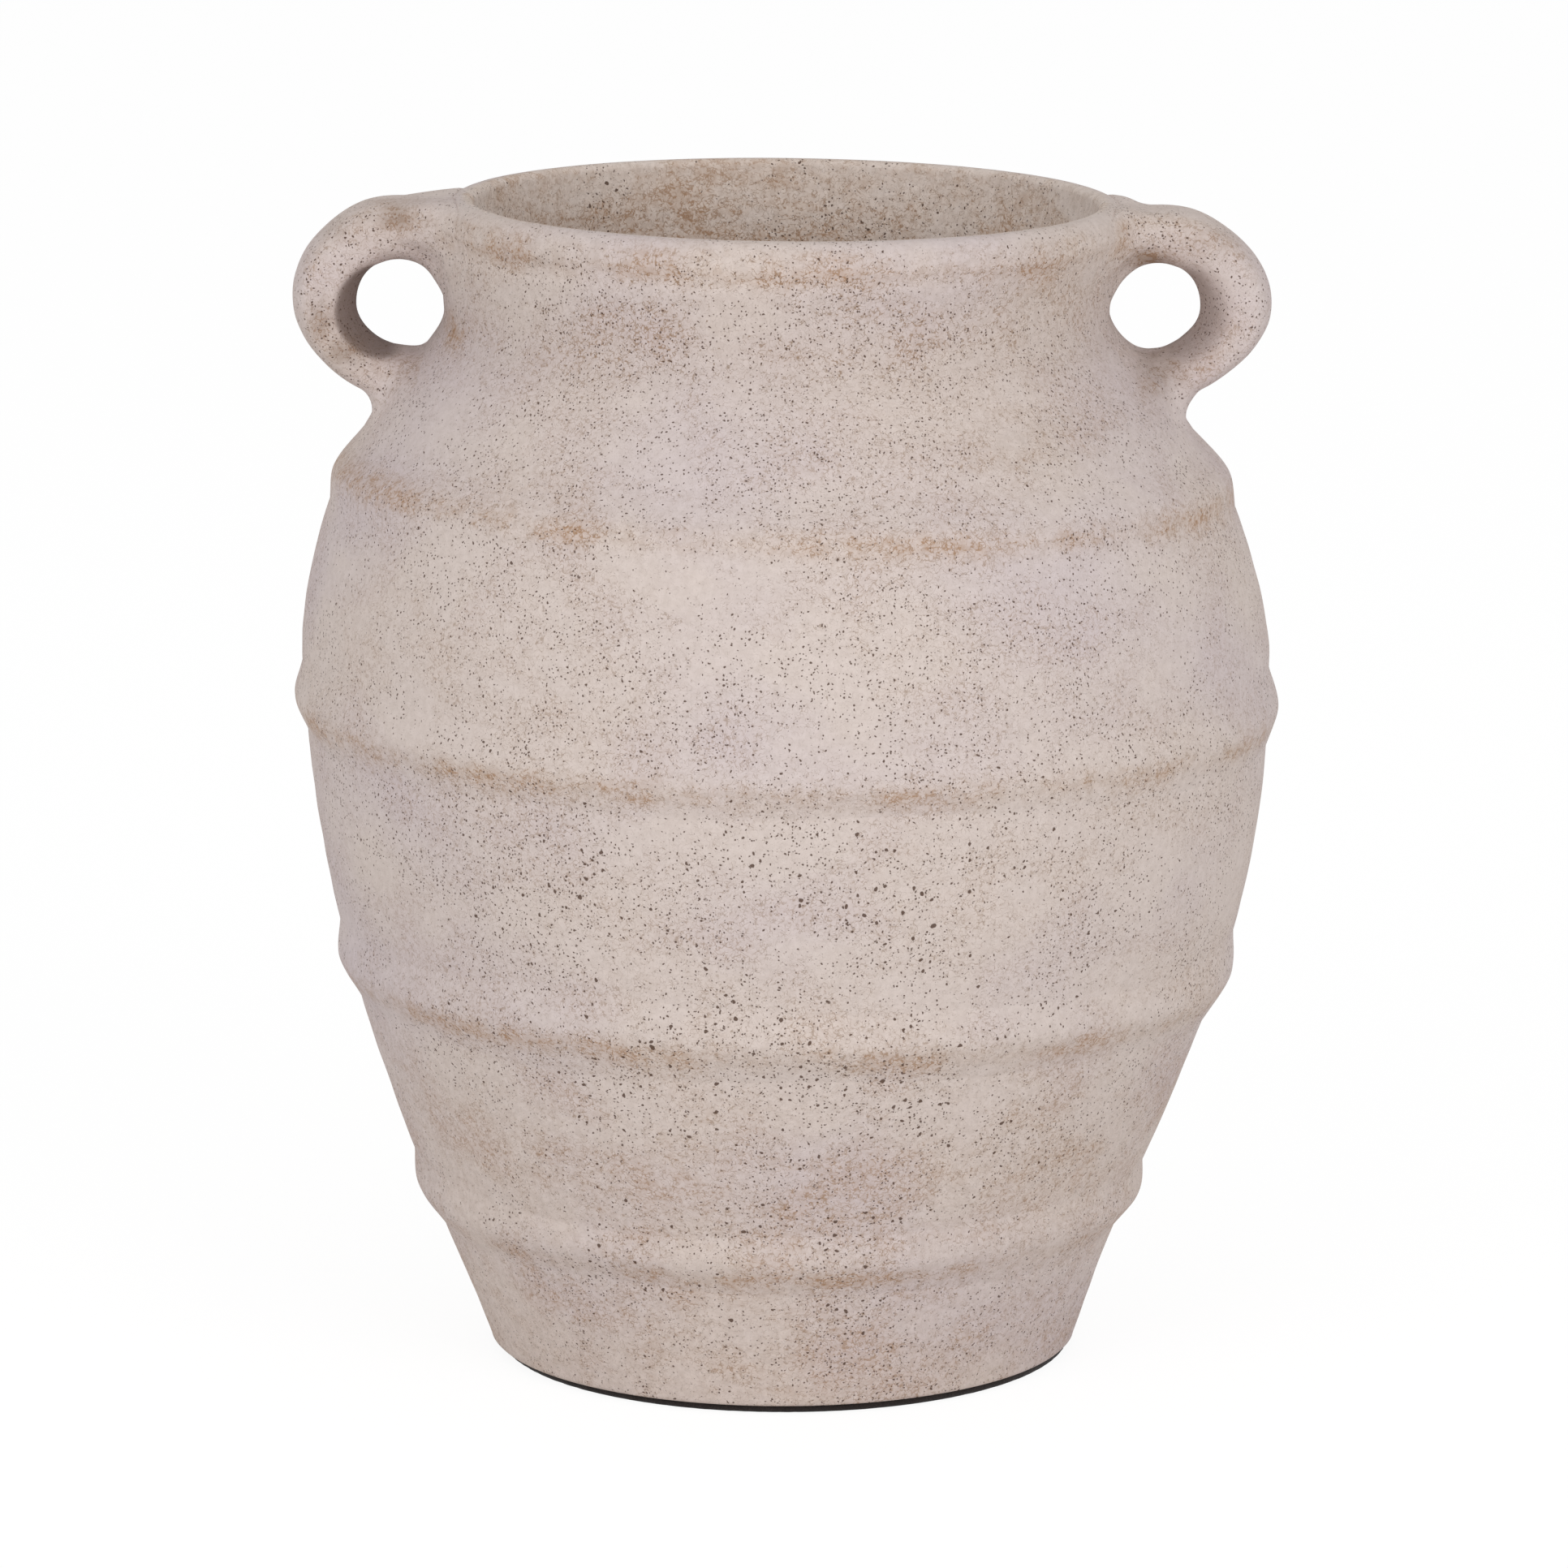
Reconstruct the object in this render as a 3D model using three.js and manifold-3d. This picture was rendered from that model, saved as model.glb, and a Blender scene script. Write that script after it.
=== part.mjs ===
// Jug vase of thrown clay: a barrel body with a rolled lip, four applied clay bands,
// two ring handles from the lip to the shoulder, and a thin pad under the foot.
// Millimetres, +Z up, front towards -Y. The origin is on the axis, on the surface the pad rests on.
import * as THREE from "three";
import { mergeVertices } from "three/addons/utils/BufferGeometryUtils.js";
import Module from "manifold-3d";

const wasm = await Module();
wasm.setup();

// Driving dimensions. Heights on the clay are measured up from the foot, which stands on the pad.
// The neck, the slope under it, the band on that slope and the handles hang from the rim.
const PAD_THICKNESS = 2;
const PAD_INSET = 3.5; // the pad's edge behind the foot's edge

const FOOT_RADIUS = 77.75;
const FOOT_ROUND = 1.2; // worn edge of the foot
const FLANK_LEAN = 19.6; // degrees from upright, just above the foot
const BELLY_RADIUS = 126.35;
const BELLY_HEIGHT = 183.8;
const SHOULDER_RADIUS = 98.4; // where the slope turns from outward to inward curving
const SHOULDER_DROP = 48.1; // below the rim
const SHOULDER_LEAN = 40.5; // degrees from upright
const WAIST_RADIUS = 86.5; // narrowest place of the neck
const WAIST_DROP = 29.6; // below the rim
const RIM_HEIGHT = 304;

// The lip is rolled outwards: a long soft face outside, a flat top and a tighter inner edge.
const LIP_SET_BACK = 2.3; // middle of the roll inside the waist's outer face
const LIP_OUT = 4.7; // how far the roll stands out from its middle
const LIP_FALL = 6.2; // height of its face over the middle
const LIP_UNDER = 3; // height of its underside
const LIP_CREASE = -50; // degrees below level, where the neck meets the underside
const LIP_FLAT = 1;
const LIP_EDGE = 2.2; // radius of the inner edge

const WALL = 8;
const FLOOR = 11;
const FLOOR_FILLET = 7;

// How far each curve of the outline keeps its end direction, as a share of the stretch's height.
const FLANK_PULL = [0.385, 0.42];
const SHOULDER_PULL = [0.11, 0.555];
const NECK_PULL = [0.86, 0.14];

// Each band is a coil pressed on the wall, a little lower on the right (+X) side.
const BAND_EDGE = 0.25; // thickness left where the coil is smeared out on the wall
const SHOULDER_BAND_DROP = 71.5; // below the rim
const BANDS = {
  shoulder_band: { height: RIM_HEIGHT - SHOULDER_BAND_DROP, width: 18, proud: 2.5, fall: 1.6 },
  belly_band: { height: 172.4, width: 18, proud: 3.3, fall: 3.6 },
  lower_band: { height: 102.1, width: 20, proud: 2.5, fall: 4.7 },
  foot_band: { height: 42, width: 18, proud: 2.5, fall: 1.2 },
};

// Each handle is a ring round a finger hole, seen from the front. The middle of its hole lies out
// from the waist and below the rim. The strap's thickness, from the hole outwards, is given at the
// angles above level in STRAP_ANGLES: from where it runs in to the shoulder up to its top.
const STRAP_ANGLES = [-62, -40, -20, 0, 20, 45, 90];
const HANDLES = {
  left_handle: { side: -1, out: 12.7, below: 28.3, thickness: [12.4, 13, 15, 16.7, 17.3, 16.5, 16] },
  right_handle: { side: 1, out: 10.7, below: 29.3, thickness: [12.2, 13, 15.8, 18.3, 17.8, 16, 15] },
};
const HOLE_RADIUS = 11.6;
const HOLE_OPENS_AT = 145; // degrees round from the outside, where the hole runs out to the neck
const STRAP_WIDTH = 30; // front to back
const ROOT_WIDTH = 38;
const ROOT_REACH = 30; // outer radius of the ring where it is spread on the wall
const ROOT_SPREAD = 24; // degrees over which it widens on the shoulder
const WIDENS_AT = 70; // degrees above and below level where the strap widens front to back
const WIDENS_OVER = 60;
const STRAP_SQUARENESS = 3; // 2 is an ellipse, more is squarer

const CLEARANCE = 0.3;
const TURN_STEPS = 60;
const RING_STEPS = 36;
const SECTION_STEPS = 16;

const CLAY = 0xcdc0b4;
const CLAY_BAND = 0xc8b9aa;
const CLAY_HANDLE = 0xcbbeb2;
const PAD_COLOUR = 0x2b2524;

const rad = THREE.MathUtils.degToRad;
const smooth = (x) => THREE.MathUtils.smoothstep(x, 0, 1);
const lean = (degrees) => new THREE.Vector2(-Math.sin(rad(degrees)), Math.cos(rad(degrees)));

const lipCentre = new THREE.Vector2(WAIST_RADIUS - LIP_SET_BACK, RIM_HEIGHT - LIP_FALL);

// A point on the lip, by its angle above level on the outer side. Past the top it is on the inner
// edge.
function onLip(degrees, extra = 0) {
  const across = Math.cos(rad(degrees));
  const up = Math.sin(rad(degrees));
  if (degrees > 90) {
    return new THREE.Vector2(
      lipCentre.x - LIP_FLAT + LIP_EDGE * across,
      RIM_HEIGHT - LIP_EDGE + LIP_EDGE * up,
    );
  }
  const tall = up > 0 ? LIP_FALL : LIP_UNDER;
  return new THREE.Vector2(
    lipCentre.x + (LIP_OUT + extra) * across,
    lipCentre.y + (tall + extra) * up,
  );
}

// One stretch of the outline from a to b, leaving and arriving in the given directions.
function stretch(a, leave, b, arrive, pull) {
  const rise = b.y - a.y;
  const first = a.clone().addScaledVector(leave, rise * pull[0]);
  const second = b.clone().addScaledVector(arrive, -rise * pull[1]);
  return new THREE.CubicBezierCurve(a, first, second, b);
}

// The wall's outer outline, from the foot's edge up to the crease under the lip.
function outerOutline() {
  const edge = new THREE.Vector2(FOOT_RADIUS, FOOT_ROUND);
  const belly = new THREE.Vector2(BELLY_RADIUS, BELLY_HEIGHT);
  const shoulder = new THREE.Vector2(SHOULDER_RADIUS, RIM_HEIGHT - SHOULDER_DROP);
  const waist = new THREE.Vector2(WAIST_RADIUS, RIM_HEIGHT - WAIST_DROP);
  const crease = onLip(LIP_CREASE);
  const up = lean(0);
  const flare = crease.clone().sub(waist);
  const midFlare = new THREE.Vector2(waist.x, waist.y + flare.y / 2);
  return [
    ...stretch(edge, lean(-FLANK_LEAN), belly, up, FLANK_PULL).getPoints(7).slice(0, -1),
    ...stretch(belly, up, shoulder, lean(SHOULDER_LEAN), SHOULDER_PULL).getPoints(7).slice(0, -1),
    ...stretch(shoulder, lean(SHOULDER_LEAN), waist, up, NECK_PULL).getPoints(4).slice(0, -1),
    ...new THREE.QuadraticBezierCurve(waist, midFlare, crease).getPoints(3),
  ];
}

// An outline moved sideways by a distance, inwards where it is negative.
function offset(points, distance) {
  return points.map((p, i) => {
    const before = points[Math.max(i - 1, 0)];
    const after = points[Math.min(i + 1, points.length - 1)];
    const along = after.clone().sub(before).normalize();
    return new THREE.Vector2(p.x + along.y * distance, p.y - along.x * distance);
  });
}

// Height on an outline to its radius, straight between its points.
function radiusAt(points, height) {
  const i = points.findIndex((p) => p.y >= height);
  if (i <= 0) return i === 0 ? points[0].x : points[points.length - 1].x;
  const a = points[i - 1];
  const b = points[i];
  return a.x + ((b.x - a.x) * (height - a.y)) / (b.y - a.y);
}

// A profile of radius and height turned about the Z axis.
function turned(profile) {
  return new THREE.LatheGeometry(profile, TURN_STEPS).rotateX(Math.PI / 2);
}

const outer = outerOutline();
const seat = offset(outer, CLEARANCE); // what lies on the wall lies on this outline

function lipArc(from, to, steps, extra = 0) {
  return Array.from({ length: steps + 1 }, (_, i) => onLip(from + ((to - from) * i) / steps, extra));
}

// The thrown wall with its floor, neck and rolled lip, open at the top.
function bodyGeometry() {
  const inner = offset(outer, -WALL);
  const filletTop = FLOOR + FLOOR_FILLET;
  const inside = inner.filter((p, i) => i % 2 === 0 && p.y > filletTop && p.y < lipCentre.y);
  const corner = radiusAt(inner, FLOOR);
  const floorCurve = new THREE.QuadraticBezierCurve(
    new THREE.Vector2(radiusAt(inner, filletTop), filletTop),
    new THREE.Vector2(corner, FLOOR),
    new THREE.Vector2(corner - FLOOR_FILLET, FLOOR),
  );
  return turned([
    new THREE.Vector2(0, 0),
    new THREE.Vector2(FOOT_RADIUS - FOOT_ROUND, 0),
    ...outer.slice(0, -1),
    ...lipArc(LIP_CREASE, 90, 7),
    ...lipArc(91, 180, 3),
    ...inside.reverse(),
    ...floorCurve.getPoints(3),
    new THREE.Vector2(0, FLOOR),
  ]);
}

// The space of the wall and everything inside it, grown by the clearance.
function wallSpace() {
  const grown = seat.slice(0, -1);
  const above = RIM_HEIGHT + ROOT_REACH;
  return turned([
    new THREE.Vector2(0, -CLEARANCE),
    new THREE.Vector2(grown[0].x, -CLEARANCE),
    ...grown,
    ...lipArc(LIP_CREASE, 90, 5, CLEARANCE),
    new THREE.Vector2(lipCentre.x, above),
    new THREE.Vector2(0, above),
  ]);
}

// A closed surface from rings of points, where the last ring joins the first.
function ringed(rings) {
  const count = rings[0].length;
  const index = [];
  rings.forEach((_, i) => {
    const here = i * count;
    const next = ((i + 1) % rings.length) * count;
    for (let j = 0; j < count; j += 1) {
      const k = (j + 1) % count;
      index.push(here + j, next + j, next + k, here + j, next + k, here + k);
    }
  });
  const geometry = new THREE.BufferGeometry().setFromPoints(rings.flat());
  geometry.setIndex(index);
  geometry.computeVertexNormals();
  return geometry;
}

// One applied band. Its back follows the wall, and its face swells to a soft ridge.
function bandGeometry({ height, width, proud, fall }) {
  const face = [-1, -0.67, -0.34, 0, 0.34, 0.67, 1];
  const back = [1, 0.5, 0, -0.5, -1];
  const rings = Array.from({ length: TURN_STEPS }, (_, i) => {
    const turn = (2 * Math.PI * i) / TURN_STEPS;
    const middle = height - (fall / 2) * Math.cos(turn);
    const at = (s, thickness) => {
      const z = middle + (s * width) / 2;
      const r = radiusAt(seat, z) + thickness;
      return new THREE.Vector3(r * Math.cos(turn), r * Math.sin(turn), z);
    };
    const ridge = (s) => BAND_EDGE + proud * Math.cos((s * Math.PI) / 2) ** 2;
    return [...face.map((s) => at(s, ridge(s))), ...back.map((s) => at(s, 0))];
  });
  return ringed(rings);
}

// A handle's outer radius from the middle of its hole, by the angle above level on the outside.
// Past the top it runs level to the lip, and past the low end it spreads on the shoulder.
function handleOuter(degrees, { thickness }) {
  const top = STRAP_ANGLES[STRAP_ANGLES.length - 1];
  const held = THREE.MathUtils.clamp(degrees, STRAP_ANGLES[0], top);
  const i = Math.max(STRAP_ANGLES.findIndex((angle) => angle >= held), 1);
  const share = (held - STRAP_ANGLES[i - 1]) / (STRAP_ANGLES[i] - STRAP_ANGLES[i - 1]);
  const strap = HOLE_RADIUS + THREE.MathUtils.lerp(thickness[i - 1], thickness[i], share);
  if (degrees > top) return Math.min(strap / Math.sin(rad(degrees)), ROOT_REACH);
  return strap + (ROOT_REACH - strap) * smooth((STRAP_ANGLES[0] - degrees) / ROOT_SPREAD);
}

// The hole is round outside and runs out straight to the neck.
function handleInner(degrees) {
  const past = Math.max(Math.abs(degrees) - HOLE_OPENS_AT, 0);
  return HOLE_RADIUS / Math.cos(rad(past));
}

// A whole ring round the finger hole. What lies in the wall is cut away later.
function handleRing(shape) {
  const power = 2 / STRAP_SQUARENESS;
  const bulge = (x) => Math.sign(x) * Math.abs(x) ** power;
  const rings = Array.from({ length: RING_STEPS }, (_, i) => {
    const degrees = 180 - (360 * i) / RING_STEPS;
    const inner = handleInner(degrees);
    const edge = handleOuter(degrees, shape);
    const spread = smooth((Math.abs(degrees) - WIDENS_AT) / WIDENS_OVER);
    const halfWidth = (STRAP_WIDTH + (ROOT_WIDTH - STRAP_WIDTH) * spread) / 2;
    return Array.from({ length: SECTION_STEPS }, (__, j) => {
      const turn = (2 * Math.PI * j * shape.side) / SECTION_STEPS;
      const radius = (inner + edge) / 2 + ((edge - inner) / 2) * bulge(Math.cos(turn));
      return new THREE.Vector3(
        shape.side * (WAIST_RADIUS + shape.out + radius * Math.cos(rad(degrees))),
        halfWidth * bulge(Math.sin(turn)),
        RIM_HEIGHT - shape.below + radius * Math.sin(rad(degrees)),
      );
    });
  });
  return ringed(rings);
}

function toSolid(geometry) {
  const bare = geometry.clone();
  bare.deleteAttribute("normal");
  bare.deleteAttribute("uv");
  const merged = mergeVertices(bare, 1e-4);
  return new wasm.Manifold(
    new wasm.Mesh({
      numProp: 3,
      vertProperties: merged.attributes.position.array,
      triVerts: new Uint32Array(merged.index.array),
    }),
  );
}

function fromSolid(solid) {
  const { vertProperties, triVerts } = solid.getMesh();
  const geometry = new THREE.BufferGeometry();
  geometry.setAttribute("position", new THREE.BufferAttribute(vertProperties, 3));
  geometry.setIndex(new THREE.BufferAttribute(triVerts, 1));
  geometry.computeVertexNormals();
  return geometry;
}

// A handle ends on the wall, the lip and the shoulder, a clearance away from them.
function handleGeometry(shape) {
  return fromSolid(toSolid(handleRing(shape)).subtract(toSolid(wallSpace())));
}

function padGeometry() {
  const radius = FOOT_RADIUS - PAD_INSET;
  return turned([
    new THREE.Vector2(0, 0),
    new THREE.Vector2(radius, 0),
    new THREE.Vector2(radius, PAD_THICKNESS),
    new THREE.Vector2(0, PAD_THICKNESS),
  ]);
}

function piece(name, geometry, color, roughness) {
  const material = new THREE.MeshStandardMaterial({ color, roughness, metalness: 0 });
  const mesh = new THREE.Mesh(geometry, material);
  mesh.name = name;
  return mesh;
}

const clay = new THREE.Group();
clay.position.z = PAD_THICKNESS;
clay.add(piece("vase_body", bodyGeometry(), CLAY, 0.9));
for (const [name, band] of Object.entries(BANDS)) {
  clay.add(piece(name, bandGeometry(band), CLAY_BAND, 0.9));
}
for (const [name, shape] of Object.entries(HANDLES)) {
  clay.add(piece(name, handleGeometry(shape), CLAY_HANDLE, 0.9));
}

const vase = new THREE.Group();
vase.add(clay, piece("base_pad", padGeometry(), PAD_COLOUR, 0.95));

export default vase;
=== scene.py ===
"""Jug vase of whitewashed earthenware: thrown wall, pressed-on bands, ring handles and a felt pad.

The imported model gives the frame. The visible pieces are built over it in the same place and size,
then a plain stage with the photograph's camera is set round them. Metres, +Z up, front towards -Y.
"""

import math

import bpy
import numpy as np
from bpy.props import FloatProperty, FloatVectorProperty, IntProperty, PointerProperty, StringProperty
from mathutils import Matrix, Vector, noise


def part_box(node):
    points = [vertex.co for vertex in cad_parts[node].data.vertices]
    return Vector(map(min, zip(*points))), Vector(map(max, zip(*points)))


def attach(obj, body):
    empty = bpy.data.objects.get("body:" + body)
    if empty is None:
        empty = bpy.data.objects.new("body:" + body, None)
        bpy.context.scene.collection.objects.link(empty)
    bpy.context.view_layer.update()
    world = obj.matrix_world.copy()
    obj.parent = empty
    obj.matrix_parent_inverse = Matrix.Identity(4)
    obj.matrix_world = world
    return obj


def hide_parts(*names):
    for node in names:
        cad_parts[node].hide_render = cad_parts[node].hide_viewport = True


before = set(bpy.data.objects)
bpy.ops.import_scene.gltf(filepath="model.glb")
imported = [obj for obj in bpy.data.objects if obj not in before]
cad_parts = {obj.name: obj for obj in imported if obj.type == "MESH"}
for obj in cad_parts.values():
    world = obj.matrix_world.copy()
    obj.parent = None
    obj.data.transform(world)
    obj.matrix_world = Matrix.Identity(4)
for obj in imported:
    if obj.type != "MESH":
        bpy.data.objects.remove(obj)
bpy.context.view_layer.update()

bl_info = {
    "name": "Jug Vase",
    "version": (1, 0, 0),
    "blender": (4, 5, 0),
    "location": "View3D > Sidebar > Jug Vase",
    "description": "Builds a banded jug vase of whitewashed earthenware over its packed frame",
    "category": "Add Mesh",
}

BODY = "root"
CLAY_NAME = "earthenware_thrown_whitewashed"
MM = 0.001

# The four bands, by the node that each stands for: height of the crest over the clay foot, width
# of the coil, how far it stands out, how much lower it lies on the right, how much higher at the
# front, how far below its crest the brown wash has settled and how much lower on the right.
# Millimetres.
BANDS = {
    "shoulder_band": dict(height=232.5, width=20.0, proud=2.9, fall=1.3, rise=1.0, seep=1.7, run=7.0),
    "belly_band": dict(height=172.4, width=20.0, proud=2.75, fall=3.6, rise=0.5, seep=2.8, run=0.0),
    "lower_band": dict(height=102.1, width=22.0, proud=2.95, fall=4.7, rise=1.8, seep=3.2, run=0.0),
    "foot_band": dict(height=42.0, width=19.0, proud=2.95, fall=1.2, rise=-0.7, seep=3.8, run=0.0),
}

# The handles: side of the axis, distance from the axis to the middle of the finger hole before the
# wall's sway, drop of that middle below the rim, the hole's radius and the strap's outer radius at
# the angles above level listed here, how crisp the hole's front edge is, where 2 is round, and how
# dark the painted shade on the hole's slanting wall is.
HOLE_ANGLES = (-165, -135, -105, -75, -45, -15, 15, 45, 75, 105, 135, 150, 165, 180)
STRAP_ANGLES = (-62, -40, -20, 0, 20, 45, 90)
HANDLES = {
    "left_handle": dict(
        side=-1,
        reach=97.1,
        drop=28.15,
        hole=(15.5, 13.7, 12.0, 10.9, 11.2, 12.0, 12.1, 12.3, 12.0, 11.6, 10.9, 10.6, 11.2, 15.0),
        strap=(24.1, 24.8, 26.7, 28.5, 29.0, 27.9, 28.0),
        crisp=9.0,
        dirt_and_shade=1.0,
    ),
    "right_handle": dict(
        side=1,
        reach=99.2,
        drop=27.45,
        hole=(12.9, 12.6, 12.5, 10.6, 10.2, 11.1, 11.4, 11.9, 12.1, 12.0, 11.8, 11.7, 11.8, 13.0),
        strap=(23.9, 24.5, 27.2, 30.2, 29.4, 27.4, 26.5),
        crisp=3.0,
        dirt_and_shade=0.45,
    ),
}

# Blotches of brown wash on the front: how far right of the axis and how high over the clay foot
# their middle is, half their width and height, and how strong they are.
BLOTCHES = (
    (-98.0, 298.5, 5.5, 3.2, 1.8),
    (-112.0, 295.0, 8.0, 3.0, 0.5),
    (-118.0, 271.5, 3.5, 6.0, 1.6),
    (-112.0, 264.0, 5.0, 4.0, 1.8),
    (-83.0, 272.0, 3.0, 4.5, 1.5),
    (-67.0, 294.5, 13.0, 4.0, 1.0),
    (99.0, 260.0, 6.0, 5.5, 1.5),
    (96.5, 289.5, 6.0, 2.6, 1.8),
    (67.0, 288.5, 12.0, 9.0, 0.8),
    (112.0, 294.5, 7.0, 4.0, 0.5),
    (64.0, 250.0, 22.0, 9.0, 0.45),
    (-60.0, 240.0, 24.0, 8.0, 0.4),
)

# Where the lip's roll meets the neck, in degrees above level on the roll.
LIP_CREASE = -30

# The foot's underside stays free of brown wash up to this far from the axis, in millimetres.
UNDER_FOOT = 70

# The wall's sway: the height where it stands furthest to the right, how far above and below that it
# comes back to the axis, and the height over the foot from which it is full. Millimetres.
SWAY_PEAK = 135
SWAY_QUARTER = 75
SWAY_FULL = 45

# Soft lumps, throwing rings and small dents: width, height, strength and place in the noise.
LUMPS = ((34, 22, 1.0, 0), (160, 7, 0.4, 40), (9, 7, 0.28, 90))

# The thumb's dent in the neck: its middle and its reach, to the right, to the back and up.
# Millimetres.
DENT_MIDDLE = (-86, 0, 268)
DENT_REACH = (8, 25, 8)

# The grid that a handle's surface is found on, in millimetres: where it starts off the axis, half
# its width, how far it goes below and beyond the hole's middle, and how far over the rim.
GRID_START = 72.0
GRID_HALF = 37.0
GRID_BELOW = 46
GRID_BEYOND = 33
GRID_OVER = 4

# The distance to the wall is worked out at places this many millimetres apart and read off in
# between.
TABLE_STEP = 0.5

# How deep a coil's back and a handle's mesh reach into the wall, and how far off the wall's face the
# handle's mesh ends, in millimetres.
COIL_BURIED = 3.0
STRAP_BURIED = 1.6
SKIRT = 0.03

# How far the felt is pressed out past the edge of the pad's solid, how wide its frayed edge is, how
# deep the fray and how far apart, in millimetres.
FELT_SPREAD = 1.3
FELT_EDGE = 1.0
FELT_FRAY = 0.18
FRAY_SPACING = 2.3

# Sizes of the marks in the clay, in millimetres: cool and thin patches of wash, crumbs at the edges
# of the thin ones, gaps in the fine lines, flakes of chalk, places with many pores, the bends in a
# pore's edge, how far they push it, its soft edge, the grit, and the relief of all.
COOL_PATCH = 60
THIN_PATCH = 30
CRUMB = 7
LINE_GAP = 1.6
FLAKE = 2.1
PORE_PLACE = 30
PORE_BEND = 1.2
PORE_PUSH = 0.9
PORE_EDGE = 0.12
GRIT = 0.7
RELIEF = 0.4

# Tufts and cloudy places of the felt, in millimetres. Its fibres are about 0.02 mm thick: they are
# drawn as tufts, which show.
TUFT = 0.5
CLOUD = 12

# The stage, in metres: half the floor, the place and width of the right soft box, and the height on
# the axis that both boxes look at. Each box has its side and its share of the mean power.
FLOOR_HALF = 30.0
BOX_PLACE = (1.4, -2.0, 0.9)
BOX_WIDTH = 1.3
AIM_HEIGHT = 0.17
SOFT_BOXES = {"soft_box_left": (-1, 0.92), "soft_box_right": (1, 1.08)}


def linear(hex_colour):
    """An sRGB hex colour as the linear red, green and blue that shaders take."""
    channels = [int(hex_colour[i : i + 2], 16) / 255 for i in (1, 3, 5)]
    return tuple(c / 12.92 if c <= 0.04045 else ((c + 0.055) / 1.055) ** 2.4 for c in channels)


def ramp(x, start, end):
    """0 at the start, 1 at the end, smooth between them and level outside."""
    x = np.clip((x - start) / (end - start), 0.0, 1.0)
    return x * x * (3 - 2 * x)


def bell(x, width):
    """1 where x is 0, falling off to both sides over about a width."""
    return np.exp(-((x / width) ** 2))


# What the panel shows.


def length(name, description, millimetres):
    """A length in the panel, given in millimetres."""
    return FloatProperty(name=name, description=description, default=millimetres * MM, unit="LENGTH")


def number(name, description, value=0.0, unit="NONE"):
    """A number in the panel, in Blender's own unit where it has one."""
    return FloatProperty(name=name, description=description, default=value, unit=unit)


def tint(name, description, hex_colour):
    """A colour in the panel."""
    return FloatVectorProperty(
        name=name, description=description, subtype="COLOR", default=linear(hex_colour)
    )


class WallSizes(bpy.types.PropertyGroup):
    """Sizes of the thrown wall. Heights are over the clay foot, which stands on the pad."""

    foot_radius: length("Foot radius", "Radius of the flat foot", 77.75)
    foot_round: length("Foot edge", "Wear of the foot's edge", 1.6)
    flank_lean: number("Flank lean", "Lean of the flank over the foot", math.radians(19.6), "ROTATION")
    belly_radius: length("Belly radius", "Widest radius of the wall", 126.35)
    belly_height: length("Belly height", "Height of the belly", 183.8)
    shoulder_radius: length("Shoulder radius", "Radius where the slope turns to the neck", 98.4)
    shoulder_height: length("Shoulder height", "Height of that place", 255.9)
    shoulder_lean: number(
        "Shoulder lean", "Lean of the shoulder from upright", math.radians(40.5), "ROTATION"
    )
    waist_radius: length("Waist radius", "Narrowest radius of the neck", 86.5)
    waist_height: length("Waist height", "Height of the narrowest place", 274.4)
    rim_height: length("Rim height", "Height of the lip's top", 303.0)
    lip_set_back: length("Lip set back", "Middle of the roll inside the waist's face", 2.3)
    lip_out: length("Lip out", "How far the roll stands out from its middle", 4.7)
    lip_fall: length("Lip fall", "Height of the roll's face over its middle", 6.2)
    lip_under: length("Lip under", "Height of the roll's underside", 5.0)
    lip_flat: length("Lip flat", "Width of the level top", 1.0)
    lip_edge: length("Lip edge", "Radius of the inner edge", 2.2)
    lip_aside: length("Lip aside", "How far the lip is pulled to the right of the neck", 2.4)
    thickness: length("Wall", "Thickness of the wall", 8.0)
    floor: length("Floor", "Thickness of the floor", 11.0)
    sway: length("Sway", "How far the wall leans to and fro, left and right, as thrown by hand", 1.7)
    aside: length("Aside", "How far the clay sits to the left", 0.5)
    thumb: length("Thumb", "Depth of the thumb's dent in the neck beside the left handle", 0.7)
    rim_tilt: number("Rim tilt", "How far the rim dips to the right", 0.0104, "ROTATION")
    unevenness: length("Unevenness", "Height of the soft lumps left by the hand", 0.35)
    turns: IntProperty(name="Turns", description="Faces round the axis", default=336, min=32)


class StrapSizes(bpy.types.PropertyGroup):
    """Sizes that both handles share."""

    width: length("Strap width", "Strap from front to back", 29.0)
    root_width: length("Root width", "Width where it joins the neck", 36.0)
    top_width: length("Top width", "Width where it joins the lip", 25.0)
    root_reach: length("Root reach", "Radius of the ring where it is buried in the wall", 30.0)
    squareness: number("Squareness", "2 is an oval section, more is squarer", 2.8)
    flare: number("Flare", "How fast the hole widens to the front and back, on its outer side", 0.39)
    crease: length("Crease", "Smear of clay in the tight creases", 2.5)
    top_edge: length("Top edge", "Rounding of the edge round the level top", 2.5)
    fillet: length("Fillet", "Smear of clay at the strap's sides", 11.0)
    cell: length("Cell", "Grid that the surface is found on", 0.6)


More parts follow.
